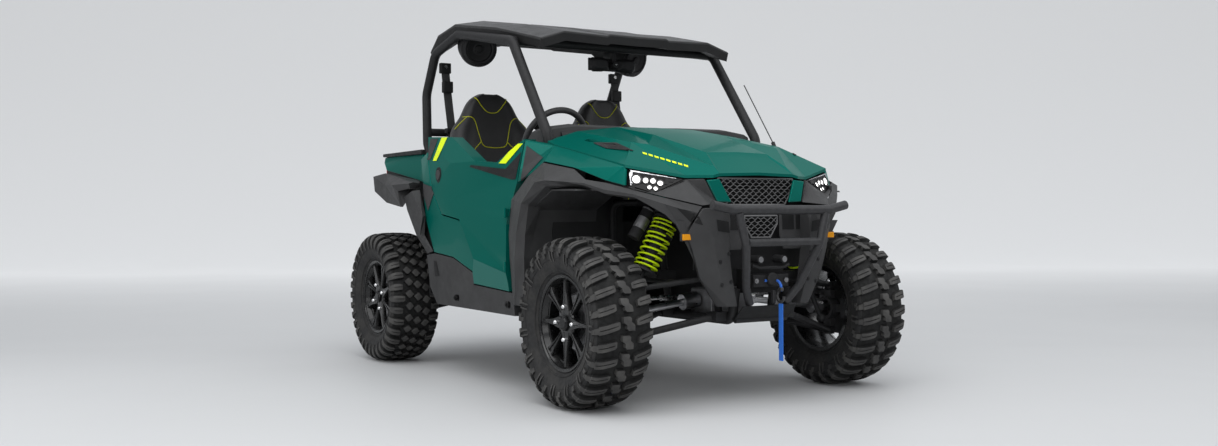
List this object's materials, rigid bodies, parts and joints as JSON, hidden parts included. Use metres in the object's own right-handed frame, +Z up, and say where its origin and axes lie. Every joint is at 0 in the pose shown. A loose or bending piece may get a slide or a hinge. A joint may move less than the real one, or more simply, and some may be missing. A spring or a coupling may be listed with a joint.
{
  "type": "side by side utility vehicle",
  "caption": "Side by side utility vehicle with bucket seats, an open cab under a tube cage and roof, half doors, dump bed with tailgate, knobbly tyres, front winch and tow hitch.",
  "frame": {"origin": "on the ground midway between the axles, on the centre plane", "axes": "+Z up, nose towards -Y, the vehicle's right side towards -X"},
  "size_m": [1.645, 3, 1.8078],
  "materials": {
    "alloy": "cast aluminium",
    "belt": "woven belt",
    "black": "black plastic",
    "black_steel": "black powder coat",
    "iron": "cast iron",
    "lens": "lamp lens",
    "mirror": "mirror glass in black shell",
    "paint": "satin body paint, green",
    "red": "tail lamp",
    "rim": "gloss black cast wheel",
    "rubber": "black rubber",
    "seat": "black vinyl",
    "spring": "lime powder coat",
    "steel": "bare steel",
    "strap": "blue webbing",
    "trim": "textured charcoal plastic",
    "tyre": "tyre rubber"
  },
  "bodies": {
    "chassis": {"antenna": "rubber", "axle_shafts": "steel", "centre_console": "black", "chassis_frame": "black_steel", "dashboard": "black", "engine": "iron", "floor_tub": "black", "front_arms": "black_steel", "front_bumper": "black_steel", "front_cowl": "paint", "front_fascia": "trim", "front_fenders": "trim", "gearboxes": "alloy", "grilles": "black", "headlamps": "lens", "hood": "paint", "mirror": "mirror", "muffler": "steel", "quarter_panels": "paint", "rear_arms": "black_steel", "rear_bumper": "black_steel", "rear_flares_lower": "trim", "rear_knuckles": "iron", "rockers": "trim", "roll_cage": "black_steel", "roof": "trim", "seat_backs": "seat", "seat_belts": "belt", "seat_cushions": "seat", "shocks": "alloy", "skid_plate": "black", "speaker_pods": "black", "springs": "spring", "winch": "black", "winch_hook": "steel", "winch_strap": "strap"},
    "wheel_front_right": {"tyre_front_right": "tyre", "rim_front_right": "rim", "hub_front_right": "iron"},
    "wheel_front_left": {"tyre_front_left": "tyre", "rim_front_left": "rim", "hub_front_left": "iron"},
    "wheel_rear_right": {"tyre_rear_right": "tyre", "rim_rear_right": "rim", "hub_rear_right": "iron"},
    "wheel_rear_left": {"tyre_rear_left": "tyre", "rim_rear_left": "rim", "hub_rear_left": "iron"},
    "knuckle_right": {"knuckle_front_right": "iron"},
    "knuckle_left": {"knuckle_front_left": "iron"},
    "tie_rods": {"tie_rods": "steel"},
    "door_right": {"door_right": "paint"},
    "door_left": {"door_left": "paint"},
    "bed": {"bed_tub": "black", "bed_side_panels": "paint", "bed_flares": "trim", "tail_lamps": "red"},
    "tailgate": {"tailgate": "paint"},
    "steering_wheel": {"steering_wheel": "rubber"}
  },
  "joints": [
    {"name": "steering_turn", "type": "hinge", "parent": "chassis", "child": "steering_wheel", "pos_m": [-0.356, -0.225, 1.145], "axis": [0, 0.8829, 0.4695], "range_deg": [-252, 252]},
    {"name": "steer_right", "type": "hinge", "parent": "chassis", "child": "knuckle_right", "pos_m": [-0.651, -1.0285, 0.35], "axis": [0, 0, 1], "range_deg": [-28, 28]},
    {"name": "steer_left", "type": "hinge", "parent": "chassis", "child": "knuckle_left", "pos_m": [0.651, -1.0285, 0.35], "axis": [0, 0, 1], "range_deg": [-28, 28]},
    {"name": "tie_rod_slide", "type": "slide", "parent": "chassis", "child": "tie_rods", "axis": [1, 0, 0], "range_m": [-0.045, 0.045]},
    {"name": "wheel_front_right_spin", "type": "hinge", "parent": "knuckle_right", "child": "wheel_front_right", "pos_m": [-0.681, -1.0285, 0.35], "axis": [1, 0, 0], "continuous": true},
    {"name": "wheel_front_left_spin", "type": "hinge", "parent": "knuckle_left", "child": "wheel_front_left", "pos_m": [0.681, -1.0285, 0.35], "axis": [1, 0, 0], "continuous": true},
    {"name": "wheel_rear_right_spin", "type": "hinge", "parent": "chassis", "child": "wheel_rear_right", "pos_m": [-0.681, 1.0285, 0.35], "axis": [1, 0, 0], "continuous": true},
    {"name": "wheel_rear_left_spin", "type": "hinge", "parent": "chassis", "child": "wheel_rear_left", "pos_m": [0.681, 1.0285, 0.35], "axis": [1, 0, 0], "continuous": true},
    {"name": "door_right_hinge", "type": "hinge", "parent": "chassis", "child": "door_right", "pos_m": [-0.728, -0.425, 0.8], "axis": [0, 0, 1], "range_deg": [0, 68]},
    {"name": "door_left_hinge", "type": "hinge", "parent": "chassis", "child": "door_left", "pos_m": [0.728, -0.425, 0.8], "axis": [0, 0, -1], "range_deg": [0, 68]},
    {"name": "bed_tilt", "type": "hinge", "parent": "chassis", "child": "bed", "pos_m": [0, 1.29, 0.866], "axis": [-1, 0, 0], "range_deg": [0, 40]},
    {"name": "tailgate_hinge", "type": "hinge", "parent": "bed", "child": "tailgate", "pos_m": [0, 1.35, 0.915], "axis": [-1, 0, 0], "range_deg": [0, 90]}
  ],
  "couplings": [
    {"joint": "steer_right", "follows": "steering_turn", "ratio": 0.111},
    {"joint": "steer_left", "follows": "steering_turn", "ratio": 0.111},
    {"joint": "tie_rod_slide", "follows": "steering_turn", "m_per_rad": -0.01014}
  ]
}
